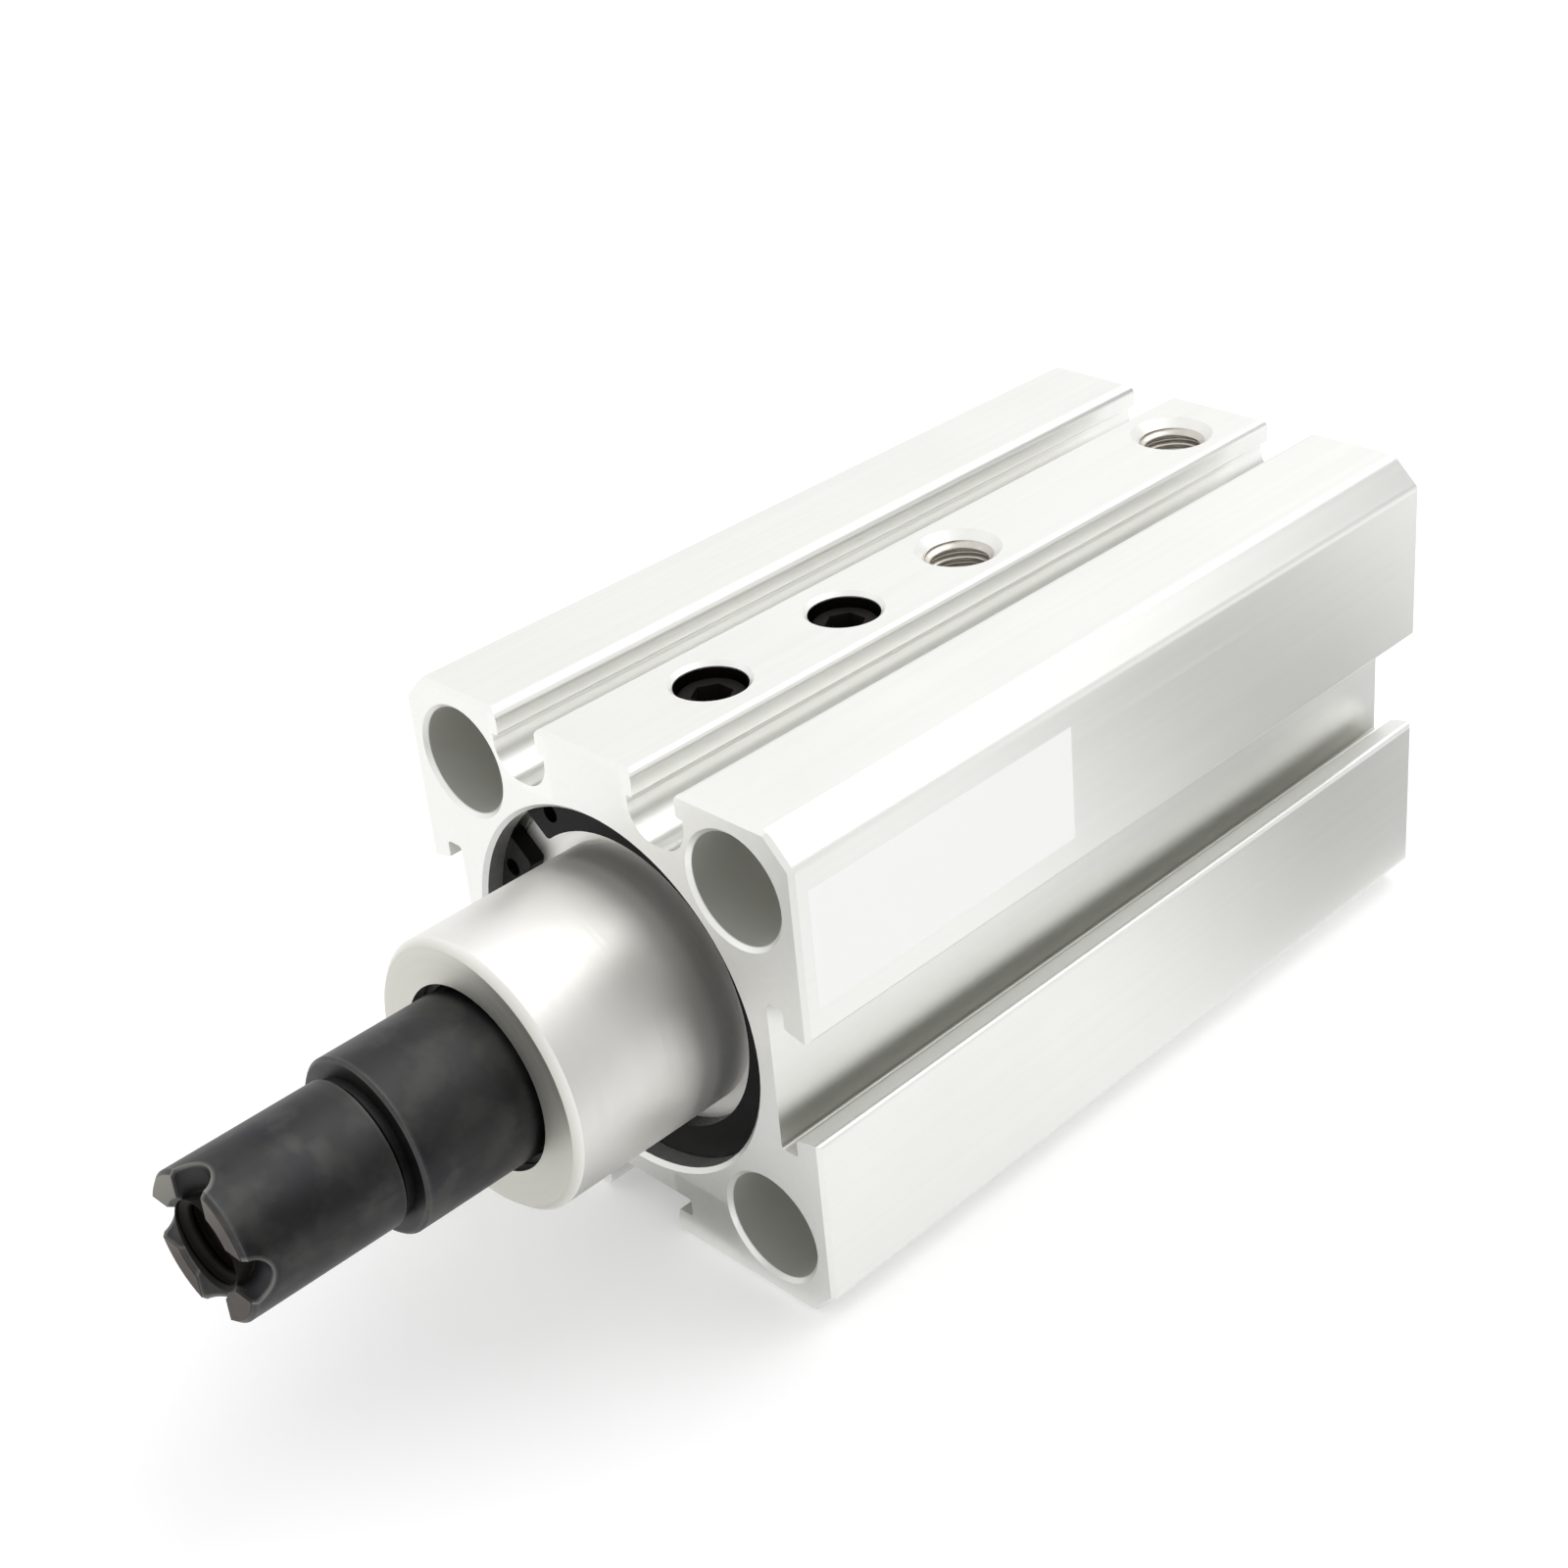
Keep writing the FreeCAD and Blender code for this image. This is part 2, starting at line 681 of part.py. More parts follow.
def piston_screw():
    """The socket cap screw that clamps the piston against the rod's shoulder."""
    seat = piston_front + spigot_length + end_clearance + piston_web
    head_end = seat + screw_head_height
    head_radius_outer = screw_head_diameter / 2
    screw = turned([
        (0, piston_front - screw_reach),
        (screw_diameter / 2, piston_front - screw_reach),
        (screw_diameter / 2, seat),
        (head_radius_outer, seat),
        (head_radius_outer, head_end - edge_break),
        (head_radius_outer - edge_break, head_end),
        (0, head_end),
    ])
    socket = hexagon(screw_head_flats, screw_head_socket_depth)
    socket.rotate(vector(0, 0, 0), vector(1, 0, 0), -90)
    socket.translate(vector(0, head_end, 0))
    return screw.cut(socket)


def head_bumper():
    """The stop ring seated in the head cover's front face."""
    return tube(head_bumper_diameter / 2, head_bumper_hole / 2,
                head_bumper_front, head_front + head_bumper_seat)


def head_cover():
    """The turned disc that closes the rear end, with an O-ring groove and a seat for its bumper."""
    oring_floor = head_seat_radius - head_oring_section
    oring_half = head_oring_section / 2 + running_clearance
    oring_y = (head_front + head_rear) / 2
    outer_seat = head_bumper_diameter / 2 + seat_clearance
    inner_seat = head_bumper_hole / 2 - seat_clearance
    return turned([
        (0, head_front),
        (inner_seat, head_front),
        (inner_seat, head_front + head_bumper_seat),
        (outer_seat, head_front + head_bumper_seat),
        (outer_seat, head_front),
        (head_radius - edge_break, head_front),
        (head_radius, head_front + edge_break),
        (head_radius, oring_y - oring_half),
        (oring_floor, oring_y - oring_half),
        (oring_floor, oring_y + oring_half),
        (head_radius, oring_y + oring_half),
        (head_radius, head_rear),
        (0, head_rear),
    ])


def head_cover_oring():
    """The seal ring between the head cover and the tube."""
    return oring(head_seat_radius - head_oring_section, head_oring_section, (head_front + head_rear) / 2)


pieces = [
    cylinder_tube, rod_cover, rod_bushing, rod_seal, rod_cover_oring, front_retaining_ring,
    cover_lock_screw, guide_pin, guide_pin_oring, guide_pin_screw, rod_bumper,
    piston_rod, piston, piston_oring, piston_seal, wear_ring, magnet_ring, piston_screw,
    head_bumper, head_cover, head_cover_oring, rear_retaining_ring,
]
os.makedirs("parts", exist_ok=True)
for piece in pieces:
    shape = piece()
    shape.exportStep("parts/" + piece.__name__ + ".step")
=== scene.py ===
import json
import math

import bpy
import numpy as np
from mathutils import Matrix, Vector


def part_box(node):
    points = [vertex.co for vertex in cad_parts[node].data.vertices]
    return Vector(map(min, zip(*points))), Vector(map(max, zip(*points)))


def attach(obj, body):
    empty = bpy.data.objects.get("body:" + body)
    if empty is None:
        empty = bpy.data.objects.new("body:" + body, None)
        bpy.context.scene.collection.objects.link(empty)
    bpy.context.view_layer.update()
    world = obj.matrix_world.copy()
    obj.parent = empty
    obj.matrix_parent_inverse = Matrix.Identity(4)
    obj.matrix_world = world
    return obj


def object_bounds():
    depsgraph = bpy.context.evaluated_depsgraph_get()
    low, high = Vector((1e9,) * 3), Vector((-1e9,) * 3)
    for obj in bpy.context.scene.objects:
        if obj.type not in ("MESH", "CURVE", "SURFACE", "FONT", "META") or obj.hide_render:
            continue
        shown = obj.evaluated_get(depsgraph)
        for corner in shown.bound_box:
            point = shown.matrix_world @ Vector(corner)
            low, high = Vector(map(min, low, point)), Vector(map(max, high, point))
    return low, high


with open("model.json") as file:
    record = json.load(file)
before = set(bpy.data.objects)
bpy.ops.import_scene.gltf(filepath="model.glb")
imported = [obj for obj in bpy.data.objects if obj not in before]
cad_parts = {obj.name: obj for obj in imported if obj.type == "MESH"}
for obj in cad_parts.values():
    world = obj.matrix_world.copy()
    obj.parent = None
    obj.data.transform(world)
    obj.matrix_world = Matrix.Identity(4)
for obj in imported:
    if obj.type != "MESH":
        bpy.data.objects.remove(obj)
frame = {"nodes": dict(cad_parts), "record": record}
cad_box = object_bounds()


# Cylinder tube
# A square aluminium extrusion with lipped slots, cut to length, bored and drilled, then etched and
# clear anodised. It carries every other piece, and a blank paper label on its +X side.
MM = 0.001
mounts = {mount["name"]: mount for mount in frame["record"]["mounts"]}
tube_low, tube_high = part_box("cylinder_tube")
bolt_pitch = mounts["front_bolts"]["dims"]["spacing_x_mm"] * MM
counterbore_radius = mounts["front_bolts"]["dims"]["hole_r_mm"] * MM
screw_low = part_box("cover_lock_screw")[0]
screw_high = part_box("guide_pin_screw")[1]
# Most values of a noise pattern lie in this span.
noise_span = (0.3, 0.7)
label_skin = 0.05 * MM
label_low = Vector((tube_high.x - label_skin, 1.2 * MM, 5.9 * MM))
label_high = Vector((tube_high.x + label_skin, 25.0 * MM, 14.2 * MM))


def linear(hex_colour):
    """Turns an sRGB hex colour into the linear values that a shader works in."""
    shares = [int(hex_colour[start:start + 2], 16) / 255 for start in (1, 3, 5)]
    curve = [share / 12.92 if share <= 0.04045 else ((share + 0.055) / 1.055) ** 2.4 for share in shares]
    return (*curve, 1.0)


def add_node(tree, kind, settings=None, inputs=None):
    """Adds one shader node, sets its properties, and fills or links its inputs by name or number."""
    node = tree.nodes.new("ShaderNode" + kind)
    for key, value in (settings or {}).items():
        setattr(node, key, value)
    for key, value in (inputs or {}).items():
        if isinstance(value, bpy.types.NodeSocket):
            tree.links.new(value, node.inputs[key])
        else:
            node.inputs[key].default_value = value
    return node


def start_material(name):
    """A new material with its node tree, its one surface shader and its Object coordinates."""
    material = bpy.data.materials.new(name)
    material.use_nodes = True
    tree = material.node_tree
    coordinates = add_node(tree, "TexCoord").outputs["Object"]
    return material, tree, tree.nodes["Principled BSDF"], coordinates


def finish_node(material, *names):
    """Gives CAD nodes their finished material in place of the plain one."""
    for name in names:
        frame["nodes"][name].data.materials.clear()
        frame["nodes"][name].data.materials.append(material)


def share_in_box(tree, coordinates, low, high):
    """1 inside a box of Object coordinates and 0 outside it."""
    place = add_node(tree, "SeparateXYZ", None, {"Vector": coordinates})
    share = 1.0
    for axis, lowest, highest in zip("XYZ", low, high):
        half = (highest - lowest) / 2
        inside = add_node(tree, "Math", {"operation": "COMPARE"}, {
            0: place.outputs[axis], 1: lowest + half, 2: half}).outputs[0]
        share = add_node(tree, "Math", {"operation": "MULTIPLY"}, {0: share, 1: inside}).outputs[0]
    return share


def clear_anodised_aluminium():
    """Etched extrusion under a clear oxide film: a pale satin metal with faint streaks along its length.

    The walls of the wire grooves keep the smooth finish of the die, the narrow places are greyed with
    painted shade, the counterbores are drilled to a duller grey, the walls of the holes above the set
    screws are painted dark as painted shade, and the blank label is matt white paper. The etched grain
    is drawn coarser than the real one, which is too fine to show.
    """
    streak_width = 0.5 * MM
    streak_length = 45 * MM
    cloud_width = 14 * MM
    grain_width = 0.16 * MM
    grain_height = 0.02 * MM
    grain_strength = 0.12
    film_span = (0.7, 1.3)
    crevice_reach = 3 * MM
    crevice_openness = (0.75, 0.25)
    bore_margin = 0.02 * MM
    bore_fade = 0.04 * MM
    groove_low = Vector((3.5 * MM, tube_low.y, 13 * MM))
    groove_high = Vector((9.2 * MM, tube_high.y, 17.7 * MM))
    shade_margin = 0.5 * MM
    unshaded_rim = 0.4 * MM
    screw_shade_low = Vector((screw_low.x - shade_margin, screw_low.y - shade_margin, screw_low.z))
    screw_shade_high = Vector((
        screw_high.x + shade_margin, screw_high.y + shade_margin, tube_high.z - unshaded_rim))
    satin_roughness = (0.40, 0.44)
    groove_roughness = 0.31
    drilled_roughness = 0.7

    material, tree, shader, coordinates = start_material("clear_anodised_aluminium")
    stretched = add_node(tree, "Mapping", {"vector_type": "POINT"}, {
        "Vector": coordinates, "Scale": (1 / streak_width, 1 / streak_length, 1 / streak_width)})
    streaks = add_node(tree, "TexNoise", None, {
        "Vector": stretched.outputs["Vector"], "Scale": 1.0, "Detail": 3.0}).outputs["Fac"]
    clouds = add_node(tree, "TexNoise", None, {
        "Vector": coordinates, "Scale": 1 / cloud_width, "Detail": 2.0}).outputs["Fac"]
    grain = add_node(tree, "TexNoise", None, {
        "Vector": coordinates, "Scale": 1 / grain_width, "Detail": 2.0}).outputs["Fac"]
    both = add_node(tree, "Math", {"operation": "ADD"}, {0: streaks, 1: clouds}).outputs[0]
    tone = add_node(tree, "MapRange", None, {
        "Value": both, "From Min": film_span[0], "From Max": film_span[1]}).outputs["Result"]
    etched = add_node(tree, "Mix", {"data_type": "RGBA"}, {
        0: tone, 6: linear("#EBEBE8"), 7: linear("#EFEFEC")}).outputs[2]
    # Painted shade: narrow places, found by ambient occlusion, are greyed.
    openness = add_node(tree, "AmbientOcclusion", {"only_local": True, "samples": 8}, {
        "Distance": crevice_reach}).outputs["AO"]
    crevice_painted_shade = add_node(tree, "MapRange", None, {
        "Value": openness, "From Min": crevice_openness[0],
        "From Max": crevice_openness[1]}).outputs["Result"]
    film_and_shade = add_node(tree, "Mix", {"data_type": "RGBA"}, {
        0: crevice_painted_shade, 6: etched, 7: linear("#C6C6C0")}).outputs[2]

    mirrored = add_node(tree, "VectorMath", {"operation": "ABSOLUTE"}, {0: coordinates}).outputs["Vector"]
    in_groove = share_in_box(tree, mirrored, groove_low, groove_high)
    from_corner = add_node(tree, "VectorMath", {"operation": "SUBTRACT"}, {
        0: mirrored, 1: (bolt_pitch / 2, 0, bolt_pitch / 2)}).outputs["Vector"]
    from_hole = add_node(tree, "VectorMath", {"operation": "MULTIPLY"}, {
        0: from_corner, 1: (1, 0, 1)}).outputs["Vector"]
    hole_distance = add_node(tree, "VectorMath", {"operation": "LENGTH"}, {0: from_hole}).outputs["Value"]
    bore_edge = counterbore_radius + bore_margin
    in_hole = add_node(tree, "MapRange", None, {
        "Value": hole_distance, "From Min": bore_edge, "From Max": bore_edge + bore_fade,
        "To Min": 1.0, "To Max": 0.0}).outputs["Result"]
    drilled = add_node(tree, "Mix", {"data_type": "RGBA"}, {
        0: clouds, 6: linear("#D0D0CB"), 7: linear("#DCDCD7")}).outputs[2]
    # Painted shade: the walls of the holes above the set screws are painted dark.
    in_screw_shade = share_in_box(tree, coordinates, screw_shade_low, screw_shade_high)
    bare = add_node(tree, "Mix", {"data_type": "RGBA"}, {0: in_hole, 6: film_and_shade, 7: drilled}).outputs[2]
    metal = add_node(tree, "Mix", {"data_type": "RGBA"}, {
        0: in_screw_shade, 6: bare, 7: linear("#2A2622")}).outputs[2]

    on_label = share_in_box(tree, coordinates, label_low, label_high)
    colour = add_node(tree, "Mix", {"data_type": "RGBA"}, {
        0: on_label, 6: metal, 7: linear("#F4F4F2")}).outputs[2]
    tree.links.new(colour, shader.inputs["Base Color"])
    metallic = add_node(tree, "Math", {"operation": "SUBTRACT"}, {0: 1.0, 1: on_label}).outputs[0]
    tree.links.new(metallic, shader.inputs["Metallic"])
    satin = add_node(tree, "MapRange", None, {
        "Value": streaks, "From Min": noise_span[0], "From Max": noise_span[1],
        "To Min": satin_roughness[0], "To Max": satin_roughness[1]}).outputs["Result"]
    walls = add_node(tree, "Mix", {"data_type": "FLOAT"}, {
        0: in_groove, 2: satin, 3: groove_roughness}).outputs[0]
    roughness = add_node(tree, "Mix", {"data_type": "FLOAT"}, {
        0: in_hole, 2: walls, 3: drilled_roughness}).outputs[0]
    tree.links.new(roughness, shader.inputs["Roughness"])
    bump = add_node(tree, "Bump", None, {
        "Height": grain, "Strength": grain_strength, "Distance": grain_height})
    tree.links.new(bump.outputs["Normal"], shader.inputs["Normal"])
    return material


finish_node(clear_anodised_aluminium(), "cylinder_tube")


# Port threads
# Both air ports are tapped M5 x 0.8 in the anodised tube, so their walls show bare cut threads.
# Each is a thin sleeve inside the plain CAD hole.
port_pitch = 0.8 * MM


def cut_aluminium():
    """Freshly tapped aluminium: a warm silver with faint smears of cutting oil."""
    smear_width = 0.8 * MM
    material, tree, shader, coordinates = start_material("cut_aluminium")
    smears = add_node(tree, "TexNoise", None, {
        "Vector": coordinates, "Scale": 1 / smear_width, "Detail": 2.0}).outputs["Fac"]
    colour = add_node(tree, "Mix", {"data_type": "RGBA"}, {
        0: smears, 6: linear("#C2BCB3"), 7: linear("#DAD6CF")}).outputs[2]
    tree.links.new(colour, shader.inputs["Base Color"])
    shader.inputs["Metallic"].default_value = 1.0
    shader.inputs["Roughness"].default_value = 0.35
    return material


def ring_mesh(name, points, material):
    """A closed skin over a grid of points that wraps round in both directions."""
    rows, columns = points.shape[:2]
    number = np.arange(rows * columns).reshape(rows, columns)
    beside = np.roll(number, -1, axis=1)
    quads = np.stack([number, beside, np.roll(beside, -1, axis=0), np.roll(number, -1, axis=0)], axis=-1)
    mesh = bpy.data.meshes.new(name)
    mesh.from_pydata(points.reshape(-1, 3).tolist(), [], quads.reshape(-1, 4).tolist())
    mesh.polygons.foreach_set("use_smooth", np.ones(len(mesh.polygons), dtype=bool))
    mesh.materials.append(material)
    piece = bpy.data.objects.new(name, mesh)
    bpy.context.scene.collection.objects.link(piece)
    return piece


def thread_sleeve(name, mount, pitch, material):
    """The cut thread of a tapped hole as a thin sleeve against its wall.

    Rows go round the hole by angle. Columns go along the section: out along the threaded inside, then
    back along the plain outside. The inside radius is the minor radius plus the thread's depth times a
    wave with flats, whose phase is the depth in pitches minus the share of a turn; at the mouth it opens
    to the full radius as a 45 degree lead-in. The minor radius is the hole's, less the share of the
    pitch that a metric thread is deep.
    """
    wall = 0.03 * MM
    seat_gap = 0.005 * MM
    crest_flat = 0.25
    root_flat = 0.125
    steps_per_pitch = 14
    angle_count = 96
    depth_share = 0.5413
    hole_radius = mount["dims"]["r_mm"] * MM
    length = mount["dims"]["length_mm"] * MM
    axis = np.array(mount["axis"], dtype=float)
    mouth = np.array(mount["pos_m"]) + axis * length / 2
    outer = hole_radius - seat_gap
    minor = hole_radius - depth_share * pitch
    deepest = outer - wall

    turn = np.linspace(0, 1, angle_count, endpoint=False)[:, None]
    depth = np.linspace(length, 0, round(steps_per_pitch * length / pitch))[None, :]
    wave = np.abs(2 * ((depth / pitch - turn) % 1) - 1)
    rise = np.clip((wave - crest_flat) / (1 - crest_flat - root_flat), 0, 1)
    inside = np.clip(np.maximum(minor + (deepest - minor) * rise, deepest - depth), minor, deepest)
    outside = np.full((angle_count, 2), outer)
    radius = np.concatenate([inside, outside], axis=1)[..., None]
    inside_depth = depth.repeat(angle_count, axis=0)
    outside_depth = np.tile([0.0, length], (angle_count, 1))
    back = np.concatenate([inside_depth, outside_depth], axis=1)[..., None]

    sideways = np.cross(axis, [1.0, 0.0, 0.0])
    upward = np.cross(axis, sideways)
    angle = 2 * math.pi * turn[..., None]
    points = mouth - axis * back + radius * (np.cos(angle) * sideways + np.sin(angle) * upward)
    return ring_mesh(name, points, material)


port_metal = cut_aluminium()
for port in ("rod_port", "head_port"):
    thread = thread_sleeve(port + "_thread", mounts[port], port_pitch, port_metal)
    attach(thread, "housing")


# Rod cover, piston and head cover
# Turned from aluminium bar on a lathe, so their faces carry fine rings about the rod axis.
# The rod cover's boss stands out of the tube; the other two are inside it.
cover_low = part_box("rod_cover")[0]


def turned_aluminium():
    """Lathe-turned and lightly blasted aluminium: a pale silver, soft in its sheen, with faint rings.

    The boss's end face, faced off last, is a duller grey. The rings are drawn coarser than the real
    feed of the lathe, which is too fine to show.
    """
    ring_pitch = 0.22 * MM
    ring_height = 0.02 * MM
    ring_strength = 0.1
    cloud_width = 6 * MM
    face_depth = 0.5 * MM
    tone_span = (0.35, 0.65)
    sheen_roughness = (0.45, 0.53)
    material, tree, shader, coordinates = start_material("turned_aluminium")
    place = add_node(tree, "SeparateXYZ", None, {"Vector": coordinates})
    flat = add_node(tree, "CombineXYZ", None, {
        "X": place.outputs["X"], "Z": place.outputs["Z"]}).outputs["Vector"]
    radius = add_node(tree, "VectorMath", {"operation": "LENGTH"}, {0: flat}).outputs["Value"]
    feed = add_node(tree, "CombineXYZ", None, {"X": radius, "Y": place.outputs["Y"]}).outputs["Vector"]
    rings = add_node(tree, "TexNoise", None, {
        "Vector": feed, "Scale": 1 / ring_pitch, "Detail": 2.0}).outputs["Fac"]
    clouds = add_node(tree, "TexNoise", None, {
        "Vector": coordinates, "Scale": 1 / cloud_width, "Detail": 3.0}).outputs["Fac"]
    tone = add_node(tree, "MapRange", None, {
        "Value": clouds, "From Min": tone_span[0], "From Max": tone_span[1]}).outputs["Result"]
    turned = add_node(tree, "Mix", {"data_type": "RGBA"}, {
        0: tone, 6: linear("#EBEAE6"), 7: linear("#EFEEEB")}).outputs[2]
    on_face = add_node(tree, "MapRange", None, {
        "Value": place.outputs["Y"], "From Min": cover_low.y + face_depth,
        "From Max": cover_low.y}).outputs["Result"]
    colour = add_node(tree, "Mix", {"data_type": "RGBA"}, {
        0: on_face, 6: turned, 7: linear("#D2D1C9")}).outputs[2]
    tree.links.new(colour, shader.inputs["Base Color"])
    sheen = add_node(tree, "MapRange", None, {
        "Value": rings, "From Min": noise_span[0], "From Max": noise_span[1],
        "To Min": sheen_roughness[0], "To Max": sheen_roughness[1]}).outputs["Result"]
    tree.links.new(sheen, shader.inputs["Roughness"])
    bump = add_node(tree, "Bump", None, {
        "Height": rings, "Strength": ring_strength, "Distance": ring_height})
    tree.links.new(bump.outputs["Normal"], shader.inputs["Normal"])
    shader.inputs["Metallic"].default_value = 1.0
    return material


finish_node(turned_aluminium(), "rod_cover", "piston", "head_cover")


# Rod bushing
# A sintered bronze bush pressed into the rod cover, where it guides the rod.
# It is hidden once the cylinder is put together.


def sintered_bronze():
    """Pressed bronze powder soaked in oil: a dull brown-gold with open pores, drawn coarser than real."""
    pore_width = 0.3 * MM
    material, tree, shader, coordinates = start_material("sintered_bronze")
    pores = add_node(tree, "TexNoise", None, {
        "Vector": coordinates, "Scale": 1 / pore_width, "Detail": 3.0}).outputs["Fac"]
    colour = add_node(tree, "Mix", {"data_type": "RGBA"}, {
        0: pores, 6: linear("#6B5232"), 7: linear("#9A7A4C")}).outputs[2]
    tree.links.new(colour, shader.inputs["Base Color"])
    shader.inputs["Metallic"].default_value = 1.0
    shader.inputs["Roughness"].default_value = 0.5
    return material


finish_node(sintered_bronze(), "rod_bushing")


# Seals and bumpers
# Moulded rings: nitrile rubber for the lip seals and O-rings, black urethane for the two stop rings.
# The seals are sprung into grooves, and the bumpers sit against the two covers.


def moulded_polymer(name, dark, light, roughness):
    """A dark moulded rubber or resin: nearly matt, with a faint bloom on its skin."""
    bloom_width = 1.5 * MM
    material, tree, shader, coordinates = start_material(name)
    bloom = add_node(tree, "TexNoise", None, {
        "Vector": coordinates, "Scale": 1 / bloom_width, "Detail": 3.0}).outputs["Fac"]
    colour = add_node(tree, "Mix", {"data_type": "RGBA"}, {
        0: bloom, 6: linear(dark), 7: linear(light)}).outputs[2]
    tree.links.new(colour, shader.inputs["Base Color"])
    shader.inputs["Roughness"].default_value = roughness
    return material


# Nitrile rubber is nearly black with a soft gleam; urethane is greyer and duller.
nitrile_rubber = moulded_polymer("nitrile_rubber", dark="#0E0E0E", light="#191918", roughness=0.5)
finish_node(nitrile_rubber, "rod_seal", "rod_cover_oring", "guide_pin_oring",
            "piston_oring", "piston_seal", "head_cover_oring")
bumper_urethane = moulded_polymer("bumper_urethane", dark="#2A2A28", light="#3A3A37", roughness=0.6)
finish_node(bumper_urethane, "rod_bumper", "head_bumper")


# Retaining rings
# Stamped from spring steel, hardened and phosphated black, and sprung into grooves at both ends.
# They hold the rod cover and the head cover in the tube.


def blackened_steel(name, dark, light, patch_width, roughness, shine):
    """Steel under a black conversion coat that is dulled with oil, so little of it shines."""
    roughness_swing = 0.06
    material, tree, shader, coordinates = start_material(name)
    patches = add_node(tree, "TexNoise", None, {
        "Vector": coordinates, "Scale": 1 / patch_width, "Detail": 3.0}).outputs["Fac"]
    colour = add_node(tree, "Mix", {"data_type": "RGBA"}, {
        0: patches, 6: linear(dark), 7: linear(light)}).outputs[2]
    tree.links.new(colour, shader.inputs["Base Color"])
    gloss = add_node(tree, "MapRange", None, {
        "Value": patches, "From Min": noise_span[0], "From Max": noise_span[1],
        "To Min": roughness - roughness_swing, "To Max": roughness + roughness_swing}).outputs["Result"]
    tree.links.new(gloss, shader.inputs["Roughness"])
    shader.inputs["Specular IOR Level"].default_value = shine
    return material


# Phosphate is a fine even black with a slight oily gleam.
ring_steel = blackened_steel("black_phosphated_steel", dark="#050505", light="#0C0C0C",
                             patch_width=0.25 * MM, roughness=0.38, shine=0.08)
finish_node(ring_steel, "front_retaining_ring", "rear_retaining_ring")


# Set screws and the piston's screw
# Alloy steel with a black oxide film. The two set screws are driven in just below the port face,
# and the cap screw holds the piston on the rod.

# Black oxide is a flat brownish black that hardly shines.
screw_steel = blackened_steel("black_oxide_steel", dark="#121110", light="#221E1A",
                              patch_width=1.2 * MM, roughness=0.45, shine=0.06)
finish_node(screw_steel, "cover_lock_screw", "guide_pin_screw", "piston_screw")


# Guide pin
# A hardened and ground steel pin, pushed in below its set screw.
# Its nose runs in the rod's cam groove.


def ground_steel():
    """Ground bearing steel: bright grey, broken up by fine grinding marks that are drawn coarser."""
    mark_width = 0.1 * MM
    ground_roughness = (0.18, 0.28)
    material, tree, shader, coordinates = start_material("ground_steel")
    marks = add_node(tree, "TexNoise", None, {
        "Vector": coordinates, "Scale": 1 / mark_width, "Detail": 2.0}).outputs["Fac"]
    gloss = add_node(tree, "MapRange", None, {
        "Value": marks, "From Min": noise_span[0], "From Max": noise_span[1],
        "To Min": ground_roughness[0], "To Max": ground_roughness[1]}).outputs["Result"]
    tree.links.new(gloss, shader.inputs["Roughness"])
    shader.inputs["Base Color"].default_value = linear("#B4B4B1")
    shader.inputs["Metallic"].default_value = 1.0
    return material


finish_node(ground_steel(), "guide_pin")


# Piston rod
# Turned and milled from steel, then nitrided black. Its nose carries the clamp arm, the four end
# notches key it, and the M6 x 1 thread in its end is black like the screws.
rod_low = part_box("piston_rod")[0]
nose_pitch = 1.0 * MM


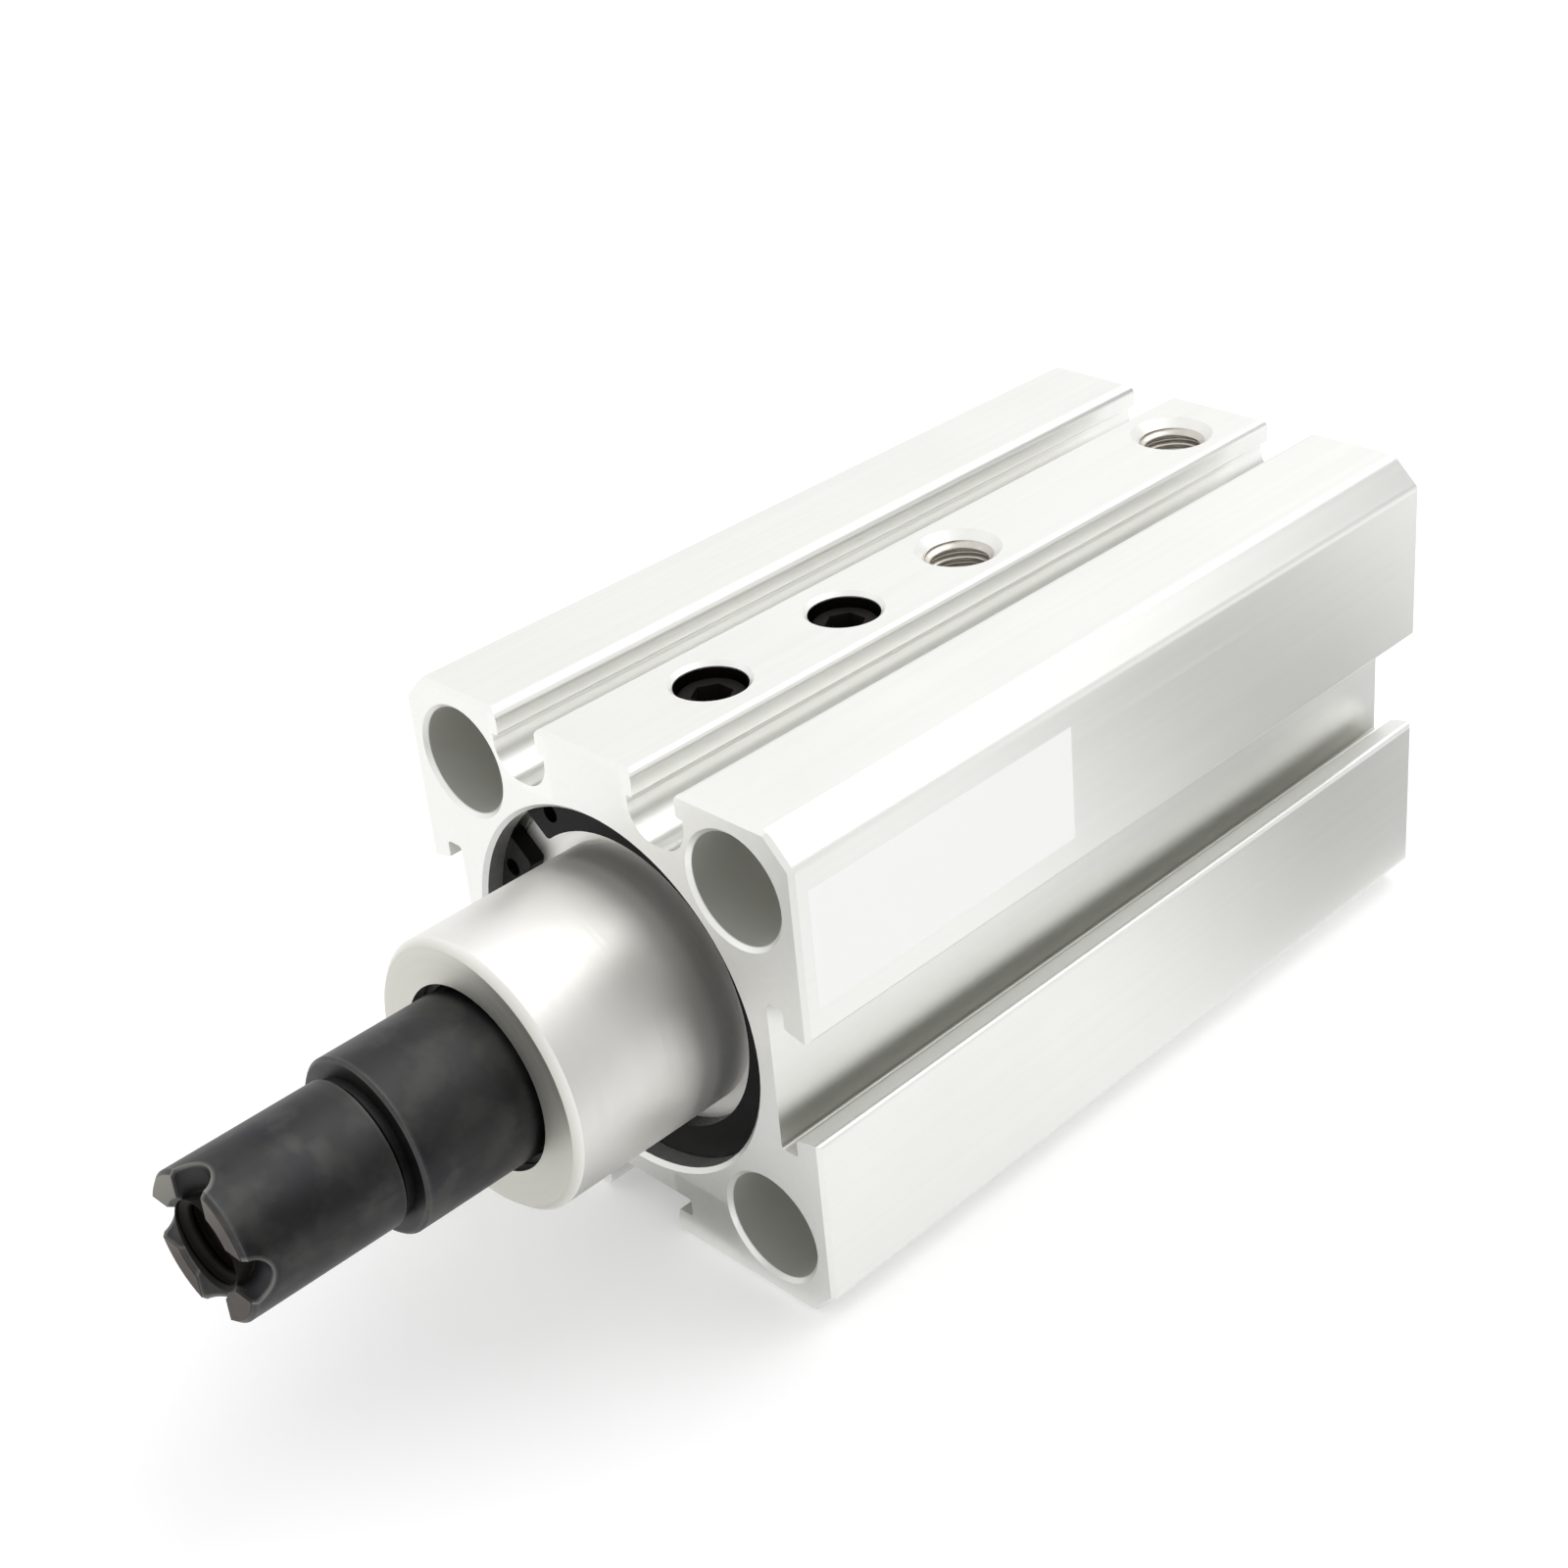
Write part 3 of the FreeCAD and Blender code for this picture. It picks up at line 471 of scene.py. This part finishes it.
def black_nitrided_steel():
    """Salt-bath nitrided steel: charcoal with dusty grey patches, paler edges and bare end lands.

    Within a band of an outer edge, where the steel behind the surface is thin, the coat is paler, partly
    as wear and partly as a painted highlight. The recesses are darkened with painted shade. The lands at
    the nose's end are bare and paler towards the top left. The grain is drawn coarser than the real one,
    which is too fine to show.
    """
    cloud_width = 6 * MM
    cloud_span = (0.40, 0.60)
    blotch_width = 2.2 * MM
    blotch_span = (0.46, 0.64)
    grain_width = 0.2 * MM
    grain_height = 0.02 * MM
    grain_strength = 0.1
    edge_band_width = 0.3 * MM
    edge_backing = (0.97, 0.55)
    edge_band_strength = 0.4
    recess_reach = 1.5 * MM
    recess_openness = (0.9, 0.4)
    recess_shade_strength = 0.6
    land_depth = 0.05 * MM
    paler_direction = (-0.8, 0, 1)
    paler_reach = 6 * MM
    coat_roughness = (0.40, 0.52)
    material, tree, shader, coordinates = start_material("black_nitrided_steel")
    clouds = add_node(tree, "TexNoise", None, {
        "Vector": coordinates, "Scale": 1 / cloud_width, "Detail": 4.0}).outputs["Fac"]
    blotches = add_node(tree, "TexNoise", None, {
        "Vector": coordinates, "Scale": 1 / blotch_width, "Detail": 4.0}).outputs["Fac"]
    grain = add_node(tree, "TexNoise", None, {
        "Vector": coordinates, "Scale": 1 / grain_width, "Detail": 2.0}).outputs["Fac"]
    cloud_share = add_node(tree, "MapRange", None, {
        "Value": clouds, "From Min": cloud_span[0], "From Max": cloud_span[1]}).outputs["Result"]
    blotch_share = add_node(tree, "MapRange", None, {
        "Value": blotches, "From Min": blotch_span[0], "From Max": blotch_span[1]}).outputs["Result"]
    charcoal = add_node(tree, "Mix", {"data_type": "RGBA"}, {
        0: cloud_share, 6: linear("#38383B"), 7: linear("#404040")}).outputs[2]
    tinted = add_node(tree, "Mix", {"data_type": "RGBA"}, {
        0: blotch_share, 6: charcoal, 7: linear("#484847")}).outputs[2]

    # Painted shade: recesses, found by ambient occlusion, are darkened.
    openness = add_node(tree, "AmbientOcclusion", {"only_local": True, "samples": 8}, {
        "Distance": recess_reach}).outputs["AO"]
    recess_painted_shade = add_node(tree, "MapRange", None, {
        "Value": openness, "From Min": recess_openness[0], "From Max": recess_openness[1],
        "To Max": recess_shade_strength}).outputs["Result"]
    coat_and_shade = add_node(tree, "Mix", {"data_type": "RGBA"}, {
        0: recess_painted_shade, 6: tinted, 7: linear("#1A1A1D")}).outputs[2]
    # Outer edges are paler, partly as wear and partly as a painted highlight.
    behind = add_node(tree, "AmbientOcclusion", {"inside": True, "only_local": True, "samples": 8}, {
        "Distance": edge_band_width}).outputs["AO"]
    edge_wear_and_highlight = add_node(tree, "MapRange", None, {
        "Value": behind, "From Min": edge_backing[0], "From Max": edge_backing[1],
        "To Max": edge_band_strength}).outputs["Result"]
    worn_and_highlit = add_node(tree, "Mix", {"data_type": "RGBA"}, {
        0: edge_wear_and_highlight, 6: coat_and_shade, 7: linear("#A8A8A2")}).outputs[2]

    place = add_node(tree, "SeparateXYZ", None, {"Vector": coordinates})
    on_land = add_node(tree, "Math", {"operation": "LESS_THAN"}, {
        0: place.outputs["Y"], 1: rod_low.y + land_depth}).outputs[0]
    # The end lands are paler towards the top left.
    up_left = add_node(tree, "VectorMath", {"operation": "DOT_PRODUCT"}, {
        0: coordinates, 1: paler_direction}).outputs["Value"]
    paler_share = add_node(tree, "MapRange", None, {
        "Value": up_left, "From Min": 0.0, "From Max": paler_reach}).outputs["Result"]
    land = add_node(tree, "Mix", {"data_type": "RGBA"}, {
        0: paler_share, 6: linear("#403934"), 7: linear("#7A786F")}).outputs[2]
    colour = add_node(tree, "Mix", {"data_type": "RGBA"}, {0: on_land, 6: worn_and_highlit, 7: land}).outputs[2]
    tree.links.new(colour, shader.inputs["Base Color"])
    gloss = add_node(tree, "MapRange", None, {
        "Value": clouds, "From Min": noise_span[0], "From Max": noise_span[1],
        "To Min": coat_roughness[0], "To Max": coat_roughness[1]}).outputs["Result"]
    tree.links.new(gloss, shader.inputs["Roughness"])
    bump = add_node(tree, "Bump", None, {
        "Height": grain, "Strength": grain_strength, "Distance": grain_height})
    tree.links.new(bump.outputs["Normal"], shader.inputs["Normal"])
    shader.inputs["Metallic"].default_value = 1.0
    return material


finish_node(black_nitrided_steel(), "piston_rod")
nose_thread = thread_sleeve("nose_thread", mounts["nose_thread"], nose_pitch, screw_steel)
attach(nose_thread, "rod")


# Wear ring and magnet ring
# A split resin band and a bonded ring magnet, both moulded and set in grooves of the piston.
# They are hidden in the bore.

# The resin is a dull brown, and the bonded magnet a dull dark grey.
wear_ring_resin = moulded_polymer("wear_ring_resin", dark="#4E3320", light="#5F4029", roughness=0.55)
finish_node(wear_ring_resin, "wear_ring")
bonded_magnet = moulded_polymer("bonded_magnet", dark="#232323", light="#31312F", roughness=0.5)
finish_node(bonded_magnet, "magnet_ring")


# Floor and light
# A pale paper floor under a white studio, one large soft lamp above and behind, and weaker ones at
# the left and right. Four grey cards, seen only in reflections, shade the metal: two lie on the floor
# beside and before the tube, one stands beside the rod and one behind the tube.
floor_half = 2.0
floor_gap = 0.05 * MM
floor_level = tube_low.z - floor_gap
card_lift = 0.2 * MM
card_level = tube_low.z + card_lift


def start_stage_material(name):
    """A new material of the set, whose tree holds only its output."""
    material = bpy.data.materials.new(name)
    material.use_nodes = True
    tree = material.node_tree
    tree.nodes.remove(tree.nodes["Principled BSDF"])
    return material, tree


def seen_share(tree):
    """1 for what is seen straight, mirrored or through glass, and 0 for what only gives light."""
    path = add_node(tree, "LightPath")
    seen = add_node(tree, "Math", {"operation": "MAXIMUM"}, {
        0: path.outputs["Is Camera Ray"], 1: path.outputs["Is Glossy Ray"]}).outputs[0]
    return add_node(tree, "Math", {"operation": "MAXIMUM"}, {
        0: seen, 1: path.outputs["Is Transmission Ray"]}).outputs[0]


def studio_paper(name, colour, glow):
    """Matt studio paper; its glow lets white paper meet the white background and keep a soft shadow."""
    material, tree = start_stage_material(name)
    lift = add_node(tree, "Math", {"operation": "MULTIPLY"}, {0: seen_share(tree), 1: glow}).outputs[0]
    paper = add_node(tree, "BsdfDiffuse", None, {"Color": linear(colour)})
    light = add_node(tree, "Emission", None, {"Strength": lift})
    both = add_node(tree, "AddShader", None, {0: paper.outputs[0], 1: light.outputs[0]})
    tree.links.new(both.outputs[0], tree.nodes["Material Output"].inputs["Surface"])
    return material


def sprayed_card(name, colour, centre, turn, long_half, wide_half):
    """Clear card with a soft grey patch: an ellipse that is solid at its centre and fades to its rim."""
    solid_share = 0.1
    material, tree = start_stage_material(name)
    coordinates = add_node(tree, "TexCoord").outputs["Object"]
    in_patch = add_node(tree, "Mapping", {"vector_type": "TEXTURE"}, {
        "Vector": coordinates, "Location": centre, "Rotation": (0, 0, math.radians(turn)),
        "Scale": (long_half, wide_half, 1)}).outputs["Vector"]
    from_centre = add_node(tree, "VectorMath", {"operation": "LENGTH"}, {0: in_patch}).outputs["Value"]
    solid = add_node(tree, "MapRange", {"interpolation_type": "SMOOTHSTEP"}, {
        "Value": from_centre, "From Min": 1.0, "From Max": solid_share}).outputs["Result"]
    clear = add_node(tree, "BsdfTransparent")
    paint = add_node(tree, "BsdfDiffuse", None, {"Color": linear(colour)})
    both = add_node(tree, "MixShader", None, {0: solid, 1: clear.outputs[0], 2: paint.outputs[0]})
    tree.links.new(both.outputs[0], tree.nodes["Material Output"].inputs["Surface"])
    return material


def stage_sheet(name, start, along, across, material):
    """A flat sheet of the set: a parallelogram from a start corner along two sides."""
    corner, first, second = (np.array(part) for part in (start, along, across))
    corners = np.stack([corner, corner + first, corner + first + second, corner + second])
    mesh = bpy.data.meshes.new(name)
    mesh.from_pydata(corners.tolist(), [], [(0, 1, 2, 3)])
    mesh.materials.append(material)
    sheet = bpy.data.objects.new(name, mesh)
    bpy.context.scene.collection.objects.link(sheet)
    return sheet


floor_paper = studio_paper("white_studio_paper", "#EAEAEA", glow=0.24)
stage_sheet("floor", start=(-floor_half, -floor_half, floor_level), along=(2 * floor_half, 0, 0),
            across=(0, 2 * floor_half, 0), material=floor_paper)
side_grey = sprayed_card("side_grey", "#8A8A88", centre=(70 * MM, 99 * MM, card_level), turn=37,
                         long_half=120 * MM, wide_half=34 * MM)
low_card = stage_sheet("low_card", start=(20 * MM, 10 * MM, card_level), along=(150 * MM, 0, 0),
                       across=(0, 170 * MM, 0), material=side_grey)
front_grey = sprayed_card("front_grey", "#BEBEBC", centre=(4 * MM, -4 * MM, card_level), turn=10,
                          long_half=18 * MM, wide_half=8 * MM)
front_card = stage_sheet("front_card", start=(-30 * MM, -30 * MM, card_level), along=(50 * MM, 0, 0),
                         across=(0, 29 * MM, 0), material=front_grey)
rod_card = stage_sheet("rod_card", start=(60 * MM, -35 * MM, tube_low.z), along=(0, 45 * MM, 0),
                       across=(0, 0, 60 * MM), material=studio_paper("dark_card", "#3A3A3A", glow=0.0))
rear_card = stage_sheet("rear_card", start=(30 * MM, 150 * MM, 30 * MM), along=(100 * MM, 0, 0),
                        across=(0, 0, 80 * MM), material=studio_paper("light_card", "#C4C4C4", glow=0.0))
for card in (low_card, front_card, rod_card, rear_card):
    card.visible_camera = False
    card.visible_shadow = False
    card.visible_diffuse = False

# The studio is seen as pure white, and lights the object a little less.
lighting_level = 0.9
background_level = 1.0
world = bpy.data.worlds.new("white_studio")
bpy.context.scene.world = world
world.use_nodes = True
sky = world.node_tree
level = add_node(sky, "MapRange", None, {
    "Value": seen_share(sky), "To Min": lighting_level, "To Max": background_level}).outputs["Result"]
sky.links.new(level, sky.nodes["Background"].inputs["Strength"])
sky.nodes["Background"].inputs["Color"].default_value = linear("#FFFFFF")


def soft_lamp(name, direction, distance, size, power):
    """A square softbox that faces the middle of the object from that direction."""
    aim = Vector(direction).normalized()
    data = bpy.data.lights.new(name, "AREA")
    data.shape = "SQUARE"
    data.size = size
    data.energy = power
    lamp = bpy.data.objects.new(name, data)
    lamp.location = (cad_box[0] + cad_box[1]) / 2 + aim * distance
    lamp.rotation_euler = aim.to_track_quat("Z", "Y").to_euler()
    lamp.visible_camera = False
    bpy.context.scene.collection.objects.link(lamp)
    return lamp


# The right lamp lights the matt label, and isn't mirrored in the metal.
soft_lamp("back_softbox", direction=(0.1, 0.5, 0.85), distance=0.6, size=0.5, power=1.1)
soft_lamp("left_softbox", direction=(-0.8, -0.75, 0.6), distance=0.7, size=0.4, power=0.1)
label_lamp = soft_lamp("right_softbox", direction=(0.85, -0.3, 0.45), distance=0.7, size=0.4, power=0.35)
label_lamp.visible_glossy = False


# Camera
# At the photograph's viewing angle: above the object's front right corner, slightly rolled.
# Its angles, distance and lens come from a perspective fit of the square body.


def aimed_camera(azimuth, elevation, roll, distance, target, aside, lens, shift):
    """Stands back from the target along the view direction, then slides aside in its own plane.

    The camera's axes are right = (cos a, sin a, 0), back = (sin a cos e, -cos a cos e, sin e) and
    up = back x right, with right and up turned by the roll.
    """
    a, e, r = (math.radians(angle) for angle in (azimuth, elevation, roll))
    back = np.array([math.sin(a) * math.cos(e), -math.cos(a) * math.cos(e), math.sin(e)])
    right = np.array([math.cos(a), math.sin(a), 0.0])
    up = np.cross(back, right)
    rolled_right = math.cos(r) * right + math.sin(r) * up
    rolled_up = math.cos(r) * up - math.sin(r) * right
    data = bpy.data.cameras.new("photo_view")
    data.sensor_width = 36.0
    data.lens = lens
    data.shift_x, data.shift_y = shift
    camera = bpy.data.objects.new("photo_view", data)
    place = Matrix(np.stack([rolled_right, rolled_up, back], axis=1).tolist()).to_4x4()
    place.translation = np.array(target) + back * distance - rolled_right * aside[0] - rolled_up * aside[1]
    camera.matrix_world = place
    bpy.context.scene.collection.objects.link(camera)
    bpy.context.scene.camera = camera


aimed_camera(azimuth=45.43, elevation=28.42, roll=-4.61, distance=176.5 * MM, target=(0, 20 * MM, 0),
             aside=(-3.27 * MM, -11.65 * MM), lens=58.5, shift=(-0.06, -0.06))


# Finish
# Plain colours for the picture.
bpy.context.scene.view_settings.view_transform = "Standard"
